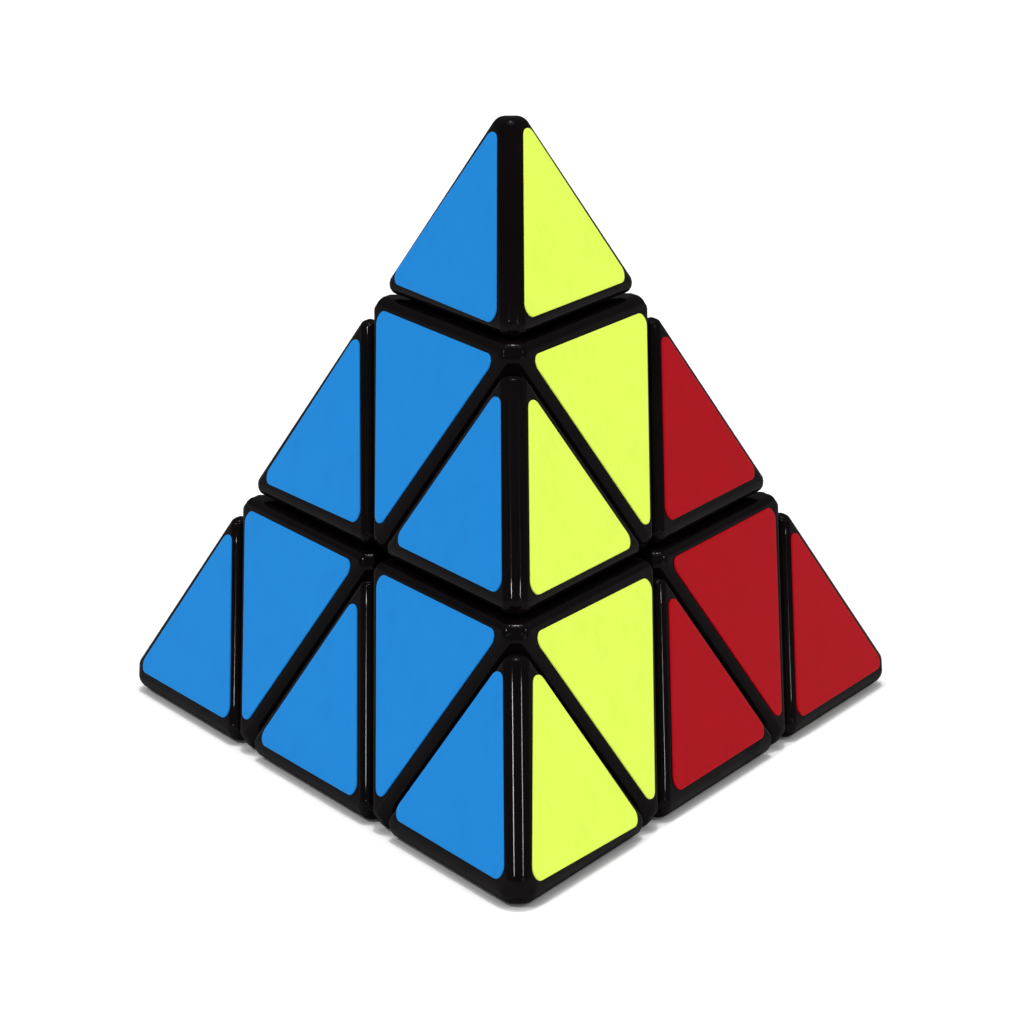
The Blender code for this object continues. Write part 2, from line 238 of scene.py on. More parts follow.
tipParts = {
    "outerRound": 0.00188, "cutRound": 0.00090, "nubCut": 0.00008,
    "apexCut": 0.00475,
    "stemRadius": 0.0040, "stemBore": 0.0025, "boreDepth": 0.006,
    "collar": 0.0013,          # solid ring of the stem before its slits start
    "collarLap": 0.0002,       # how far the legs reach into it
    "stemEnd": 0.0288, "barb": 0.0049, "barbTop": 0.0325,
    "legEnd": 0.0036, "legBend": 0.0041, "bendUp": 0.0007, "rampUp": 0.0024,
    "barbFlare": 0.00004, "barbEdge": 0.0004, "barbBevel": 0.0002, "barbLip": 0.0001,
    "slit": 0.0012, "slitTurn": 7, "legSteps": 12,
}
nubs = {
    "merge": 0.002,
    "rounding": 0.9,           # share of the piece's mean rounding
    "skipWithin": 0.6,         # cosine of the angle to the direction that is left sharp
}


def tipGrids():
    up, sides = axis["top"], [axis[c] for c in others("top")]
    base = tipPlane + puzzle["gap"]
    planes = [(-up, -base, tipParts["cutRound"]),
              (up, apexOut - tipParts["apexCut"], tipParts["outerRound"])]
    planes += [(-n, faceOut, tipParts["outerRound"]) for n in sides]
    planes += nubPlanes(planes, tipParts["nubCut"], skip=up)

    def faces(k, border, normal):
        if k:
            return None
        middle = up * base
        wide, bore = tipParts["stemRadius"], tipParts["stemBore"]
        collar, deep = tipParts["collar"], -tipParts["boreDepth"]
        stem = rings(border, middle, normal,
                     [(wide, 0), (wide, collar), (bore, collar), (bore, deep), (0, deep)])
        return [spread(stem[0], border, puzzle["holedShares"]), stem]
    return roundedGrids(planes, faces)


def nubPlanes(planes, cut, skip=None):
    # a small flat across every sharp corner, square to the line from the piece's middle to it
    normals = unit(np.array([p[0] for p in planes]))
    out, radius = np.array([p[1] for p in planes]), np.array([p[2] for p in planes])
    places = mergedCorners(normals, out)
    inner = mergedCorners(normals, out - radius)
    middle = places.mean(0)
    rounding = radius.mean() * nubs["rounding"]
    made = []
    for place in places:
        ray = unit(place - middle)
        if skip is not None and ray @ skip > nubs["skipWithin"]:
            continue
        near = inner[np.argmin(np.linalg.norm(inner - place, axis=1))]
        made.append((ray, near @ ray + rounding - cut, rounding))
    return made


def mergedCorners(normals, offsets):
    # corners closer than the merging length count as one, at their mean
    places = solidCorners(normals, offsets)[0]
    kept = []
    while len(places):
        near = np.linalg.norm(places - places[0], axis=1) < nubs["merge"]
        kept.append(places[near].mean(0))
        places = places[~near]
    return np.array(kept)


def prongGrids():
    # four legs of the split stem: a closed profile carried through most of a quarter turn,
    # with end caps
    parts = tipParts
    top = tipPlane + puzzle["gap"] - parts["collar"] + parts["collarLap"]
    bore, wide, barb = parts["stemBore"], parts["stemRadius"], parts["barb"]
    end, shoulder = parts["stemEnd"], parts["barbTop"]
    outline = np.array([(bore, end), (parts["legEnd"], end), (parts["legBend"], end + parts["bendUp"]),
                        (barb, end + parts["rampUp"]),
                        (barb + parts["barbFlare"], shoulder - parts["barbEdge"]),
                        (barb - parts["barbBevel"], shoulder), (wide, shoulder + parts["barbLip"]),
                        (wide, top), (bore, top), (bore, end)])
    radius, level = outline[:, 0, None], outline[:, 1, None]
    half = np.pi / 4 - (parts["slit"] / 2) / radius
    share = np.linspace(-1, 1, parts["legSteps"] + 1)
    grids = []
    for quarter in range(4):
        turn = np.radians(parts["slitTurn"]) + np.pi / 4 + quarter * np.pi / 2 + half * share
        side = np.stack((radius * np.cos(turn), radius * np.sin(turn), level + 0 * turn), -1)
        grids.append(side)
        for cap in (side[:, 0], side[:, -1]):
            grids.append(np.stack((cap[:-1].mean(0) + 0 * cap, cap)))
    return grids


# Axial pieces

axialParts = {
    "outerRound": 0.00150, "hiddenRound": 0.00130, "tipRound": 0.00155, "nubCut": 0.00030,
    "seat": 0.0157,            # hollow ball that the edge pieces' feet slide under
    "seatTop": 0.0156,         # points above this height stay where they are
    "shellFrom": 0.0065,       # surfaces that reach no further out than this aren't hollowed
    "stemRadius": 0.0040, "stemEnd": 0.0118, "stemBore": 0.00175, "boreLap": 0.001,
    "springShelf": 0.0172, "springWell": 0.0038,
    "snapFloor": 0.0276, "snapWell": 0.0055, "snapRoof": 0.0329, "snapHole": 0.0043,
    "port": 0.0042, "portDepth": 0.003, "portShift": 0.0012,
    "underRows": 25, "underEase": 0.8, "portRows": 19,
}
portEdge = {"narrow": 0.0002, "deep": 0.0004}


def axialGrids():
    parts = axialParts
    up, sides = axis["top"], [axis[c] for c in others("top")]
    lid, floor = tipPlane - puzzle["gap"], layerPlane + puzzle["gap"]
    planes = [(up, lid, parts["tipRound"]), (-up, -floor, parts["hiddenRound"])]
    planes += [(-n, faceOut, parts["outerRound"]) for n in sides]
    planes += [(n, layerPlane - puzzle["gap"], parts["hiddenRound"]) for n in sides]
    planes += nubPlanes(planes, parts["nubCut"])
    seat = parts["seat"]
    stem = []

    def lifted(grid):
        # whatever lies inside the ball moves up to it: z = sqrt(seat^2 - x^2 - y^2)
        grid = grid.copy()
        inside = (np.linalg.norm(grid, axis=-1) < seat) & (grid[..., 2] < parts["seatTop"])
        level = np.sqrt(np.maximum(seat ** 2 - grid[..., 0] ** 2 - grid[..., 1] ** 2, 0))
        grid[..., 2] = np.where(inside, np.maximum(level, grid[..., 2]), grid[..., 2])
        return grid

    def faces(k, border, normal):
        if k == 0:
            hole, snap, spring, bore = (parts[w] for w in ("snapHole", "snapWell", "springWell", "stemBore"))
            roof, shelf, bed = (parts[w] - lid for w in ("snapRoof", "snapFloor", "springShelf"))
            well = rings(border, up * lid, normal,
                         [(hole, 0), (hole, roof), (snap, roof), (snap, shelf), (spring, shelf),
                          (spring, bed), (bore, bed), (bore, parts["stemEnd"] + parts["boreLap"] - lid)])
            stem.append(well[-1])
            return [spread(well[0], border, puzzle["holedShares"]), well]
        if k == 1:
            middle, wide = up * floor, parts["stemRadius"]
            root = rings(border, middle, normal, [(wide, 0)])[0]
            under = spread(root, border, np.linspace(0, 1, parts["underRows"]) ** parts["underEase"])
            below = rings(border, middle, normal,
                          [(wide, floor - np.sqrt(seat ** 2 - wide ** 2)),
                           (wide, floor - parts["stemEnd"]), (parts["stemBore"], floor - parts["stemEnd"])])
            stem.append(below[-1])
            return [under, below]
        if 5 <= k <= 7:
            return portGrids(border, normal, parts, np.linspace(0, 1, parts["portRows"]))
        return None

    grids = roundedGrids(planes, faces)
    # the bore: the well's last ring meets the stem's, each point with the nearest in angle
    first, second = stem
    turnA, turnB = (np.arctan2(ring[:, 1], ring[:, 0]) for ring in (first, second))
    first, second = first[np.argsort(turnA)], second[np.argsort(turnB)]
    grids.append(closedColumns(np.stack((first, second))))
    made = []
    for grid in grids:
        isShell = np.hypot(grid[..., 0], grid[..., 1]).max() > parts["shellFrom"]
        made.append(lifted(grid) if isShell else grid)
    return made


def portGrids(border, normal, parts, shares):
    # a hidden face with a round pocket, moved outwards from the centre of the puzzle
    middle = border.mean(0)
    outward = middle - (middle @ normal) * normal
    middle = middle + unit(outward) * parts["portShift"]
    wide, deep = parts["port"], -parts["portDepth"]
    narrow = wide - portEdge["narrow"]
    bowl = rings(border, middle, normal,
                 [(wide, 0), (narrow, -portEdge["deep"]), (narrow, deep), (0, deep)])
    return [spread(bowl[0], border, shares), bowl]


# Edge pieces

edgeParts = {
    "outerRound": 0.00188, "cutRound": 0.00102, "nubCut": 0.00006,
    "port": 0.0034, "portDepth": 0.003, "portShift": 0.0008, "portShares": (0, 0.4, 0.97, 1),
    "footInner": 0.0117, "footOuter": 0.0152, "footAngle": 32.5, "footRim": 0.0006,
    "footRows": 12, "rimRows": 9, "footColumns": 60,
}


def edgeGrids():
    parts = edgeParts
    first, second = axis["top"], axis["front"]
    hidden = layerPlane + puzzle["gap"]
    planes = [(-first, -hidden, parts["cutRound"]), (-second, -hidden, parts["cutRound"])]
    planes += [(-axis[c], faceOut, parts["outerRound"]) for c in others("top", "front")]
    planes += nubPlanes(planes, parts["nubCut"])

    def faces(k, border, normal):
        return portGrids(border, normal, parts, parts["portShares"]) if k < 2 else None
    return roundedGrids(planes, faces)


def footGrids():
    # ball shell inside a cone round the edge piece's own axis, with a rounded rim:
    # (R sin a, R cos a) for a up to the cone, inner and outer R, joined by half a circle
    parts = edgeParts
    wide = np.radians(parts["footAngle"])
    inner, outer = parts["footInner"], parts["footOuter"]
    a = np.linspace(0, wide, parts["footRows"])
    down = np.stack((inner * np.sin(a), inner * np.cos(a)), -1)[:-1]
    rim = parts["footRim"]
    share = np.linspace(0, 1, parts["rimRows"])
    bulge = rim * (1 - np.sqrt(np.maximum(1 - (2 * share - 1) ** 2, 0)))
    reach = inner + (outer - inner) * share
    turn = wide - bulge / reach
    side = np.stack((reach * np.sin(turn), reach * np.cos(turn)), -1)
    back = np.stack((outer * np.sin(a[::-1]), outer * np.cos(a[::-1])), -1)[1:]
    return [lathe(np.concatenate((down, side, back)), parts["footColumns"])]


# Core

coreParts = {
    "hub": 0.0069, "arm": 0.0040, "armEnd": 0.0114, "edge": 0.0003, "fillet": 0.0006,
    "pilot": 0.00165, "pilotFloor": 0.0034, "columns": 48, "ballRows": 9,
}


def coreGrids():
    # a patch round each arm: down the pilot bore, out along the arm, over the ball to half way
    # to the next arm. Half way is where tan(angle) = (1 - n.m) / (side.m) for the neighbour m
    parts = coreParts
    grids = []
    for corner in corners:
        n = axis[corner]
        across = unit(axis[partner[corner]] - (axis[partner[corner]] @ n) * n)
        over = np.cross(n, across)
        turns = np.linspace(0, 2 * np.pi, parts["columns"] + 1)
        side = np.cos(turns)[:, None] * across + np.sin(turns)[:, None] * over
        reach = np.max([side @ axis[m] for m in others(corner)], axis=0)
        last = np.arctan2(4 / 3, reach)
        pilot, arm, end = parts["pilot"], parts["arm"], parts["armEnd"]
        soft, fillet = parts["edge"], parts["fillet"]
        foot = np.sqrt(parts["hub"] ** 2 - (arm + fillet) ** 2)
        rows = [(0, parts["pilotFloor"]), (pilot, parts["pilotFloor"]), (pilot, end - soft),
                (pilot + soft, end), (arm - soft, end), (arm, end - soft), (arm, foot + fillet),
                (arm + 0.3 * fillet, foot + 0.3 * fillet), (arm + fillet, foot)]
        wall = np.array([side * r + n * level for r, level in rows])
        first = np.arctan2(arm + fillet, foot)
        angle = first + (last - first) * np.linspace(0, 1, parts["ballRows"])[1:, None]
        ball = parts["hub"] * (np.cos(angle)[..., None] * n + np.sin(angle)[..., None] * side)
        grids.append(np.concatenate((wall, ball)))
    return grids


# Screws, springs and washers

screwParts = {
    "start": 0.0037, "shank": 0.0015, "threadEnd": 0.0113, "pitch": 0.0006, "threadDepth": 0.00022,
    "grooveSlope": 2.6, "rowsPerTurn": 10,
    "point": 0.0014, "pointThin": 0.45,      # length over which the end tapers, and to what share
    "headStart": 0.0232, "headEnd": 0.0255, "headRadius": 0.0031, "headEdge": 0.0001, "neckUp": 0.0004,
    "crownIn": 0.0008, "crownDrop": 0.0009, "crownRows": 7,
    "recess": 0.0012, "recessArm": 0.00036, "recessReach": 0.0016,
    "armSoft": 0.0002, "reachSoft": 0.0003, "recessRows": 22,
    "columns": 36,
    "crease": 40,              # edges bent more than this many degrees stay sharp
}


def screwGrids():
    parts = screwParts
    columns = parts["columns"]
    turns = np.linspace(0, 2 * np.pi, columns + 1)
    length = parts["threadEnd"] - parts["start"]
    rows = int(length / parts["pitch"] * parts["rowsPerTurn"])
    level = np.linspace(parts["start"], parts["threadEnd"], rows + 1)[:, None]
    # thread: r = shank - depth x groove, where groove is a clipped triangle wave of
    # (height / pitch - turn)
    phase = (level - parts["start"]) / parts["pitch"] - turns / (2 * np.pi)
    groove = np.clip(parts["grooveSlope"] * np.abs(phase % 1 - 0.5), 0, 1)
    tip = smooth(np.clip((level - parts["start"]) / parts["point"], 0, 1))
    r = (parts["shank"] - parts["threadDepth"] * groove) * (parts["pointThin"] + (1 - parts["pointThin"]) * tip)
    thread = np.stack((r * np.cos(turns), r * np.sin(turns), level + 0 * turns), -1)
    pole = np.stack((0 * turns, 0 * turns, parts["start"] + 0 * turns), -1)[None]
    thick, low, high, wide = (parts[w] for w in ("shank", "headStart", "headEnd", "headRadius"))
    inward, drop, soft = parts["crownIn"], parts["crownDrop"], parts["headEdge"]
    crown = [(wide - inward * (1 - np.cos(b)), high - drop + drop * np.sin(b))
             for b in np.linspace(0, np.pi / 2, parts["crownRows"])]
    shank = lathe([(thick, low), (wide - soft, low), (wide, low + soft)] + crown, columns)
    neck = lathe([(thick, parts["threadEnd"] + parts["neckUp"]), (thick, low)], columns)
    neck = np.concatenate((thread[-1:], neck))
    # cross recess: the top dips where |x| or |y| is under the arm's half width
    reach = np.linspace(wide - inward, 0, parts["recessRows"])[:, None]
    x, y = reach * np.cos(turns), reach * np.sin(turns)
    arm = np.minimum(np.abs(x), np.abs(y))
    dip = 1 - smooth(np.clip((arm - parts["recessArm"]) / parts["armSoft"], 0, 1))
    dip = dip * (1 - smooth(np.clip((reach - parts["recessReach"]) / parts["reachSoft"], 0, 1)))
    top = np.stack((x, y, high - parts["recess"] * dip), -1)
    top[-1] = top[-1].mean(0)
    return [np.concatenate((pole, thread)), neck, shank, top]


springParts = {
    "low": 0.0174, "high": 0.0226, "mean": 0.00265, "wire": 0.00036, "turns": 6.5,
    "flatEnd": 0.13,           # share of the wire that lies flat at each end
    "turnSteps": 36, "wireSteps": 12,
}


def springGrids():
    # wire centre (m cos a, m sin a, rise); the rise eases off at both ends so the end coils lie flat
    parts = springParts
    count = int(parts["turns"] * parts["turnSteps"])
    share = np.linspace(0, 1, count + 1)
    turn = 2 * np.pi * parts["turns"] * share
    ease = np.clip((share - parts["flatEnd"]) / (1 - 2 * parts["flatEnd"]), 0, 1)
    low, high = parts["low"] + parts["wire"], parts["high"] - parts["wire"]
    rise = low + (high - low) * ease
    outward = np.stack((np.cos(turn), np.sin(turn), 0 * turn), -1)
    centre = outward * parts["mean"] + np.stack((0 * rise, 0 * rise, rise), -1)
    ring = np.linspace(0, 2 * np.pi, parts["wireSteps"] + 1)[None, :, None]
    ray = np.cos(ring) * outward[:, None] + np.sin(ring) * np.array((0, 0, 1.0))
    tube = centre[:, None] + parts["wire"] * ray
    caps = [np.stack((centre[k] + 0 * tube[k], tube[k])) for k in (0, -1)]
    return [tube] + caps


washerParts = {"low": 0.02264, "high": 0.02314, "inner": 0.00165, "outer": 0.0033, "edge": 0.00006}


def washerGrids():
    parts = washerParts
    low, high, inner, outer, soft = (parts[k] for k in ("low", "high", "inner", "outer", "edge"))
    profile = [(inner, low + soft), (inner + soft, low), (outer - soft, low), (outer, low + soft),
               (outer, high - soft), (outer - soft, high), (inner + soft, high),
               (inner, high - soft), (inner, low + soft)]
    return [lathe(profile)]


# Stickers

stickerParts = {
    "lift": 0.000004, "top": 0.00018, "soft": 0.00005, "rimBand": 0.0004,
    "corner": 0.00125, "cornerSteps": 8, "sideSteps": 6,
    # margins: the side that differs, then the other two
    "tip": (0.00189, 0.00276),       # cut side, outer sides
    "axial": (0.00176, 0.00146),     # tip side, sides to the edge pieces
    "edge": (0.00281, 0.00247),      # outer side, cut sides
    "looseness": (0.14, 0.14, 0.35), # spread of the shifts and turns of those not listed below
}

# Stickers are put on by hand: how far each lies off its place, across and up its face in mm,
# and its turn in degrees
handPlaced = {
    "tip_top_on_left": (-0.30, -0.13, -0.94), "axial_top_on_left": (-0.04, -0.05, -0.50),
    "edge_top_left_on_left": (0.12, 0.21, 0.69), "edge_top_front_on_left": (0.06, 0.16, -0.24),
    "axial_left_on_left": (-0.13, -0.13, -0.09), "tip_left_on_left": (0.22, 0.16, 0.31),
    "axial_front_on_left": (0.14, 0.08, -0.02), "edge_front_left_on_left": (-0.17, -0.14, 0.29),
    "tip_front_on_left": (-0.12, 0.31, -0.14),
    "tip_top_on_right": (-0.09, 0.34, -0.34), "axial_top_on_right": (-0.06, -0.33, -0.45),
    "edge_top_front_on_right": (0.03, -0.30, -0.10), "axial_front_on_right": (-0.31, -0.39, -0.68),
    "tip_front_on_right": (0.19, -0.24, -1.49), "edge_top_right_on_right": (-0.13, 0.36, -0.02),
    "axial_right_on_right": (-0.22, -0.01, 0.03), "tip_right_on_right": (-0.01, -0.14, -0.01),
    "edge_front_right_on_right": (0.26, 0.27, 0.15),
}
unseen = np.random.default_rng(12)


def shifted(name, triangle, outward):
    # the whole outline slides and turns in its own plane
    across, up, turn = handPlaced.get(name, tuple(unseen.normal(0, stickerParts["looseness"])))
    triangle = np.array(triangle)
    middle = triangle.mean(0)
    sideways = unit(np.cross((0, 0, 1.0) if abs(outward[2]) < 0.9 else (0, 1.0, 0), outward))
    upwards = np.cross(outward, sideways)
    c, s = np.cos(np.radians(turn)), np.sin(np.radians(turn))
    x, y = (triangle - middle) @ sideways, (triangle - middle) @ upwards
    x, y = c * x - s * y + across / 1000, s * x + c * y + up / 1000
    return middle + x[:, None] * sideways + y[:, None] * upwards


def stickerGrids(triangle, margins, outward):
    # rounded triangle: each row is the corner points pushed out by a radius, joined by straight sides
    parts = stickerParts
    triangle = np.array(triangle)
    middle = triangle.mean(0)
    inner, rays, sides = [], [], []
    for k in range(3):
        start, end = triangle[(k + 1) % 3], triangle[(k + 2) % 3]
        out = unit(np.cross(end - start, outward))
        if out @ (start - middle) < 0:
            out = -out
        sides.append((out, out @ start - margins[k] - parts["corner"]))
    for k in range(3):
        arrive, leave = sides[(k + 1) % 3], sides[(k + 2) % 3]
        rows = np.array((arrive[0], leave[0], outward))
        inner.append(np.linalg.solve(rows, (arrive[1], leave[1], outward @ middle)))
        rays.append(arc(arrive[0], leave[0], np.linspace(0, 1, parts["cornerSteps"] + 1)))

    def outline(radius):
        bends = [place + ray * radius for place, ray in zip(inner, rays)]
        ring = []
        for k in range(3):
            ahead = bends[(k + 1) % 3][0]
            share = np.linspace(0, 1, parts["sideSteps"] + 1)[1:-1, None]
            ring += [bends[k], bends[k][-1] + (ahead - bends[k][-1]) * share]
        return np.concatenate(ring)

    r, soft, top = parts["corner"], parts["soft"], parts["top"]
    centre = np.mean(inner, axis=0)
    rows = [centre + 0 * outline(r) + outward * top, (centre + outline(r)) / 2 + outward * top]
    rows += [outline(r - parts["rimBand"]) + outward * top]
    for b in np.linspace(0, np.pi / 2, 4):
        rows.append(outline(r - soft * (1 - np.sin(b))) + outward * (top - soft * (1 - np.cos(b))))
    rows += [outline(r) + outward * parts["lift"], centre + 0 * outline(r) + outward * parts["lift"]]
    return [closedColumns(np.array(rows))]


# Materials

class Wire:
    def __init__(self, tree, socket=None):
        self.tree, self.socket = tree, socket

    def make(self, kind, settings=None, values=None, output=0):
        node = self.tree.nodes.new(kind)
        for name, value in (settings or {}).items():
            setattr(node, name, value)
        for name, value in (values or {}).items():
            if isinstance(value, Wire):
                self.tree.links.new(value.socket, node.inputs[name])
            else:
                node.inputs[name].default_value = value
        return Wire(self.tree, node.outputs[output])

    def math(self, operation, first, second):
        return self.make("ShaderNodeMath", {"operation": operation}, {0: first, 1: second})

    def __add__(self, other): return self.math("ADD", self, other)
    def __radd__(self, other): return self.math("ADD", other, self)
    def __sub__(self, other): return self.math("SUBTRACT", self, other)
    def __rsub__(self, other): return self.math("SUBTRACT", other, self)
    def __mul__(self, other): return self.math("MULTIPLY", self, other)
    def __rmul__(self, other): return self.math("MULTIPLY", other, self)


def newMaterial(name):
    material = bpy.data.materials.new(name)
    material.use_nodes = True
    shader = material.node_tree.nodes["Principled BSDF"]
    start = Wire(material.node_tree)
    place = start.make("ShaderNodeTexCoord", output="Object")
    return material, shader, start, place


def noise(start, place, scale, detail, roughness, offset=(0, 0, 0), stretch=(1, 1, 1)):
    moved = start.make("ShaderNodeMapping", None, {"Vector": place, "Location": offset, "Scale": stretch})
    return start.make("ShaderNodeTexNoise", None,
                      {"Vector": moved, "Scale": scale, "Detail": detail, "Roughness": roughness})


def clamp(start, value, low, high):
    return start.make("ShaderNodeMapRange", {"clamp": True}, {0: value, 1: low, 2: high, 3: 0.0, 4: 1.0})


def mixColour(start, share, first, second):
    return start.make("ShaderNodeMix", {"data_type": "RGBA"}, {0: share, 6: first, 7: second}, output=2)


def bumped(start, look, relief):
    return start.make("ShaderNodeBump", None,
                      {"Strength": look["bump"], "Distance": look["bumpDepth"], "Height": relief})


def feed(shader, name, value):
    if isinstance(value, Wire):
        value.tree.links.new(value.socket, shader.inputs[name])
    else:
        shader.inputs[name].default_value = value


# noises are listed as size, detail, roughness, offset and stretch; ranges as from and to
plasticGrain = {
    "cloud": (55, 5, 0.6), "grain": (2600, 3, 0.6, (0.3, 0.1, 0.7)),
    "rubbed": (240, 6, 0.72, (0.7, 0.2, 0.1), (1, 0.35, 1)),
    "marks": (0.56, 0.70), "haze": (0.35, 0.68),
}
plasticLook = {
    "dark": (0.0016, 0.0009, 0.0011, 1), "light": (0.0044, 0.0029, 0.0032, 1),
    "specular": 0.0, "roughLow": 0.20, "roughSpread": 0.25, "bump": 0.05, "bumpDepth": 0.00004,
    "coat": 0.10, "coatSpread": 0.04, "coatRoughness": 0.07,
}
coreLook = {
    "dark": (0.030, 0.030, 0.034, 1), "light": (0.055, 0.055, 0.060, 1),
    "specular": 0.35, "roughLow": 0.42, "roughSpread": 0.18, "bump": 0.12, "bumpDepth": 0.00004,
    "coat": 0.05, "coatSpread": 0.03, "coatRoughness": 0.3,
}


def makePlastic(name, look):
    material, shader, start, place = newMaterial(name)
    cloud, grain, rubbed = (noise(start, place, *plasticGrain[w]) for w in ("cloud", "grain", "rubbed"))
    marks = clamp(start, rubbed, *plasticGrain["marks"])
    haze = clamp(start, cloud * 0.7 + rubbed * 0.3, *plasticGrain["haze"])
    feed(shader, "Base Color", mixColour(start, haze, look["dark"], look["light"]))
    feed(shader, "Roughness", look["roughLow"] + look["roughSpread"] * (0.55 * cloud + 0.45 * marks))
    feed(shader, "Coat Weight", look["coat"] - look["coatSpread"] * marks)
    shader.inputs["Coat Roughness"].default_value = look["coatRoughness"]
    shader.inputs["Specular IOR Level"].default_value = look["specular"]
    feed(shader, "Normal", bumped(start, look, grain * 0.6 + cloud * 0.4))
    return material


filmLook = {
    "specular": 0.01, "coat": 0.045, "coatRoughness": 0.28,
    "roughLow": 0.34, "roughSpread": 0.14, "bump": 0.10, "bumpDepth": 0.00003,
    "mottle": (190, 5, 0.62), "fibres": (900, 4, 0.7, (0.4, 0.9, 0.2), (1, 1, 0.3)),
    "peel": (1500, 2, 0.5, (0.1, 0.5, 0.3)),
    "shadeRange": (0.50, 0.72), "shade": 0.352, "fleckRange": (0.60, 0.80), "fleck": 0.16,
}
filmColours = {
    # main colour, shade in the fibres, pale flecks
    "blue": ((0.0105, 0.2130, 0.5950, 1), (0.0075, 0.1620, 0.4740, 1), (0.020, 0.255, 0.651, 1)),
    "lime": ((0.6650, 0.8400, 0.0950, 1), (0.5400, 0.7200, 0.0600, 1), (0.735, 0.880, 0.160, 1)),
    "red": ((0.3350, 0.0018, 0.0065, 1), (0.2370, 0.0012, 0.0045, 1), (0.400, 0.007, 0.015, 1)),
    "green": ((0.0080, 0.2840, 0.0570, 1), (0.0055, 0.2090, 0.0370, 1), (0.020, 0.344, 0.084, 1)),
}


def makeFilm(name, colours):
    material, shader, start, place = newMaterial(name)
    main, shade, pale = colours
    look = filmLook
    mottle, fibre, peel = (noise(start, place, *look[w]) for w in ("mottle", "fibres", "peel"))
    dark = clamp(start, mottle * 0.55 + fibre * 0.45, *look["shadeRange"]) * look["shade"]
    light = clamp(start, fibre, *look["fleckRange"]) * look["fleck"]
    tone = mixColour(start, light, mixColour(start, dark, main, shade), pale)
    feed(shader, "Base Color", tone)
    feed(shader, "Roughness", look["roughLow"] + look["roughSpread"] * mottle)
    feed(shader, "Coat Weight", look["coat"] * (0.6 + 0.8 * mottle))
    shader.inputs["Coat Roughness"].default_value = look["coatRoughness"]
    shader.inputs["Specular IOR Level"].default_value = look["specular"]
    feed(shader, "Normal", bumped(start, look, peel * 0.7 + fibre * 0.3))
    return material


steelGrain = {
    "brushed": (1800, 5, 0.7, (0, 0, 0), (1, 1, 0.25)), "spots": (420, 4, 0.6, (0.2, 0.6, 0.4)),
    "spotRange": (0.35, 0.7),
}
steelLook = {
    "tone": (0.56, 0.56, 0.58, 1), "pale": (0.70, 0.70, 0.71, 1),
    "roughLow": 0.22, "roughSpread": 0.2, "bump": 0.08, "bumpDepth": 0.00003,
}
wireLook = {
    "tone": (0.44, 0.44, 0.46, 1), "pale": (0.62, 0.62, 0.64, 1),
    "roughLow": 0.24, "roughSpread": 0.16, "bump": 0.08, "bumpDepth": 0.00003,
}


def makeSteel(name, look):
    material, shader, start, place = newMaterial(name)
    brushed, spots = (noise(start, place, *steelGrain[w]) for w in ("brushed", "spots"))
    spotted = clamp(start, spots, *steelGrain["spotRange"])
    feed(shader, "Base Color", mixColour(start, spotted, look["tone"], look["pale"]))
    feed(shader, "Roughness", look["roughLow"] + look["roughSpread"] * brushed)
    shader.inputs["Metallic"].default_value = 1.0
    feed(shader, "Normal", bumped(start, look, brushed))
    return material


blackPlastic = makePlastic("glossyBlackPlastic", plasticLook)
corePlastic = makePlastic("dullCorePlastic", coreLook)
plateSteel = makeSteel("platedSteel", steelLook)
springSteel = makeSteel("springWire", wireLook)
films = {name: makeFilm(name + "Film", colours) for name, colours in filmColours.items()}
print("materials made")


def place(item, material, body, slot, *replaced):
    item.data.materials.append(material)
    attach(item, body)
    if replaced:
        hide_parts(*replaced)


# Pieces

tipShape, prongShape, axialShape = tipGrids(), prongGrids(), axialGrids()
screwShape, springShape, washerShape = screwGrids(), springGrids(), washerGrids()
for corner in corners:
    turn = cornerTurn[corner]
    tip, axial = "tip_" + corner, "axial_" + corner
    place(meshFromGrids("tip_piece_" + corner, tipShape, turn), blackPlastic, tip, "body_plastic", tip)
    place(meshFromGrids("tip_legs_" + corner, prongShape, turn), blackPlastic, tip, "body_plastic")
    place(meshFromGrids("axial_piece_" + corner, axialShape, turn), blackPlastic, axial, "body_plastic",
          axial)
    place(meshFromGrids("screw_" + corner, screwShape, turn, screwParts["crease"]), plateSteel, "core",
          "screw_steel", "core_screw_" + corner)
    place(meshFromGrids("coil_spring_" + corner, springShape, turn), springSteel, "core", "spring_steel",
          "spring_" + corner)
    place(meshFromGrids("washer_" + corner, washerShape, turn), plateSteel, "core", "screw_steel")
print("corner pieces made")

edgeShape, footShape = edgeGrids(), footGrids()
footTurn = turnBetween(axis["top"], np.array((1.0, 0, 0)), axis["top"] + axis["front"], axis["top"])
for pair in edgePairs:
    between = "%s_%s" % pair
    name, turn = "edge_" + between, edgeTurn[pair]
    place(meshFromGrids("edge_piece_" + between, edgeShape, turn), blackPlastic, name, "body_plastic", name)
    place(meshFromGrids("edge_foot_" + between, footShape, turn @ footTurn), blackPlastic, name,
          "body_plastic")
print("edge pieces made")

homeColour = {"left": "blue", "right": "lime", "back": "red", "bottom": "green"}
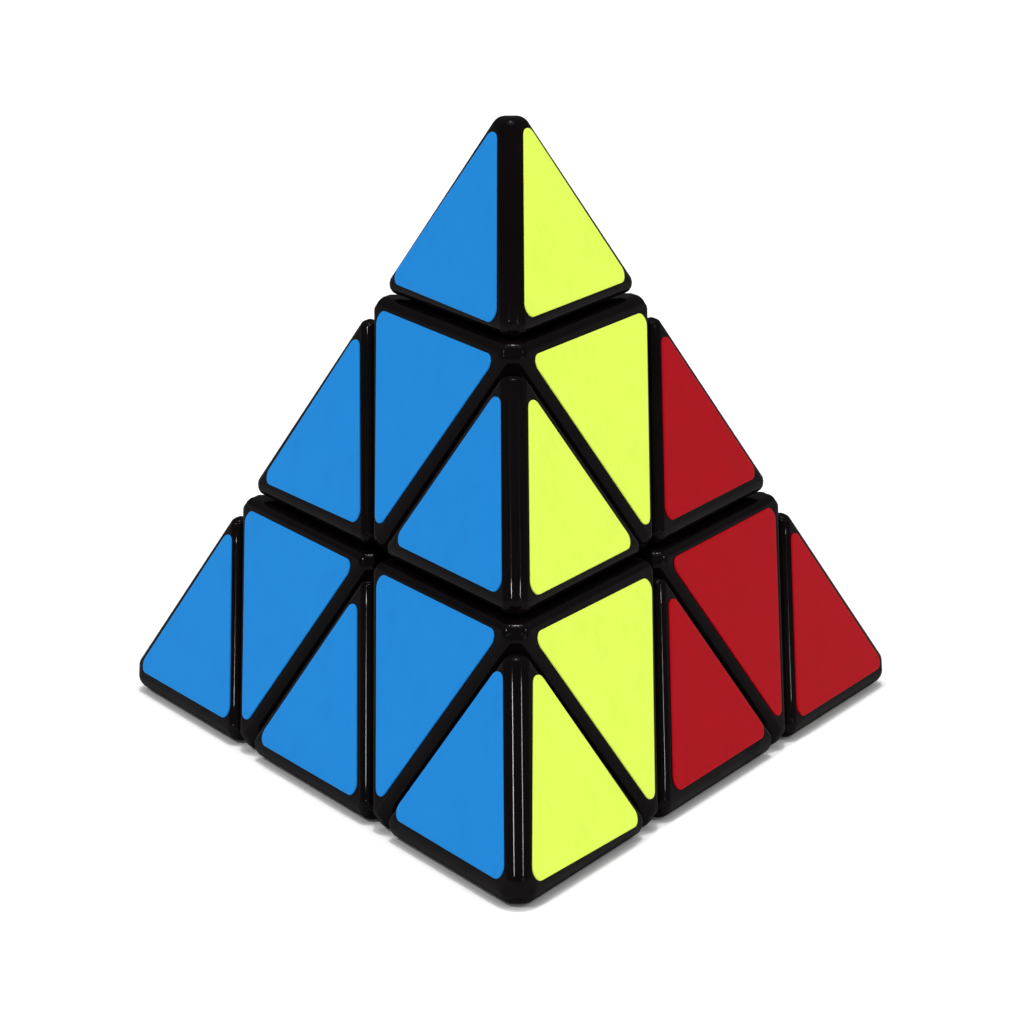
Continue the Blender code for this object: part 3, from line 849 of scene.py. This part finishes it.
# on the pieces of the right corner, which has been turned
turnedColour = {"right": "red", "back": "green", "bottom": "lime"}
for missing in corners:
    face = faceOpposite[missing]
    outward = -axis[missing]
    centre = outward * faceOut
    at = {c: axis[c] * apexOut for c in others(missing)}
    plans = []
    for c in others(missing):
        a, b = others(missing, c)
        cutA, cutB = at[c] + (at[a] - at[c]) / 3, at[c] + (at[b] - at[c]) / 3
        cut, outer = stickerParts["tip"]
        plans.append(("tip_" + c, (c,), (at[c], cutA, cutB), (cut, outer, outer)))
        toTip, toEdge = stickerParts["axial"]
        plans.append(("axial_" + c, (c,), (centre, cutA, cutB), (toTip, toEdge, toEdge)))
    for a, b in combinations(others(missing), 2):
        outer, cut = stickerParts["edge"]
        nearA, nearB = at[a] + (at[b] - at[a]) / 3, at[b] + (at[a] - at[b]) / 3
        plans.append(("edge_%s_%s" % (a, b), (a, b), (centre, nearA, nearB), (outer, cut, cut)))
    for body, owners, triangle, margins in plans:
        colour = turnedColour[face] if "right" in owners else homeColour[face]
        spot = "%s_on_%s" % (body, face)
        grids = stickerGrids(shifted(spot, triangle, outward), margins, outward)
        place(meshFromGrids("film_" + spot, grids), films[colour], body, "film_" + colour, "sticker_" + spot)
print("stickers made")

place(meshFromGrids("core_piece", coreGrids()), corePlastic, "core", "core_plastic", "core")
print("core made")

# Floor, light and camera

studio = {
    "floor": (0.92, 0.92, 0.92, 1), "floorRough": 0.9, "floorSpecular": 0.1,
    "floorReach": 6.0, "floorDrop": 0.00024,
    "world": (1.0, 1.0, 1.0, 1), "worldStrength": 0.36, "easeFrom": 0.10, "easeTo": 0.24,
    # suns: name, strength, width in degrees, where it shines from
    "suns": (("leftSpark", 0.78, 3.6, (-0.455, -0.529, 0.716)),
             ("rightSpark", 0.46, 3.6, (0.577, -0.466, 0.671)),
             ("topSpark", 1.00, 5, (0.0, 0.06, 0.99)),
             ("topWide", 1.15, 45, (0.0, 0.0, 1.0)),
             ("rightWide", 0.28, 24, (0.60, -0.70, 0.36))),
}
floorLevel = -(faceOut + studio["floorDrop"])
floorMesh = bpy.data.meshes.new("floor")
reach = studio["floorReach"]
floorCorners = [(x * reach, y * reach, floorLevel) for x, y in ((-1, -1), (1, -1), (1, 1), (-1, 1))]
floorMesh.from_pydata(floorCorners, [], [(0, 1, 2, 3)])
floor = bpy.data.objects.new("floor", floorMesh)
bpy.context.scene.collection.objects.link(floor)
floorPaint, floorShader = newMaterial("floorPaint")[:2]
feed(floorShader, "Base Color", studio["floor"])
floorShader.inputs["Roughness"].default_value = studio["floorRough"]
floorShader.inputs["Specular IOR Level"].default_value = studio["floorSpecular"]
floorMesh.materials.append(floorPaint)

world = bpy.data.worlds.new("studio")
world.use_nodes = True
sky = world.node_tree.nodes["Background"]
sky.inputs["Color"].default_value = studio["world"]
# white round the horizon, softer light overhead
upward = Wire(world.node_tree).make("ShaderNodeTexCoord", output="Generated")
rise = upward.make("ShaderNodeSeparateXYZ", None, {"Vector": upward}, output=2)
dimming = (1 - studio["worldStrength"]) * clamp(rise, rise, studio["easeFrom"], studio["easeTo"])
world.node_tree.links.new((1 - dimming).socket, sky.inputs["Strength"])
bpy.context.scene.world = world
bpy.context.scene.view_settings.view_transform = "Standard"

for name, strength, wide, fromSide in studio["suns"]:
    sun = bpy.data.lights.new(name, "SUN")
    sun.energy, sun.angle = strength, np.radians(wide)
    item = bpy.data.objects.new(name, sun)
    item.rotation_euler = Vector(fromSide).to_track_quat("Z", "Y").to_euler()
    bpy.context.scene.collection.objects.link(item)

view = {
    "lens": 147.77, "sensor": 36, "roll": -0.2157,
    "spot": (-0.0047452, -0.5050005, 0.1494025), "aim": (-0.0000248, 0.0, 0.0097726),
}
lens = bpy.data.cameras.new("camera")
lens.lens, lens.sensor_width = view["lens"], view["sensor"]
camera = bpy.data.objects.new("camera", lens)
camera.location = view["spot"]
facing = (Vector(view["spot"]) - Vector(view["aim"])).to_track_quat("Z", "Y").to_matrix()
camera.rotation_euler = facing.to_euler()
camera.rotation_euler.rotate_axis("Z", np.radians(view["roll"]))
bpy.context.scene.collection.objects.link(camera)
bpy.context.scene.camera = camera
print("studio made")
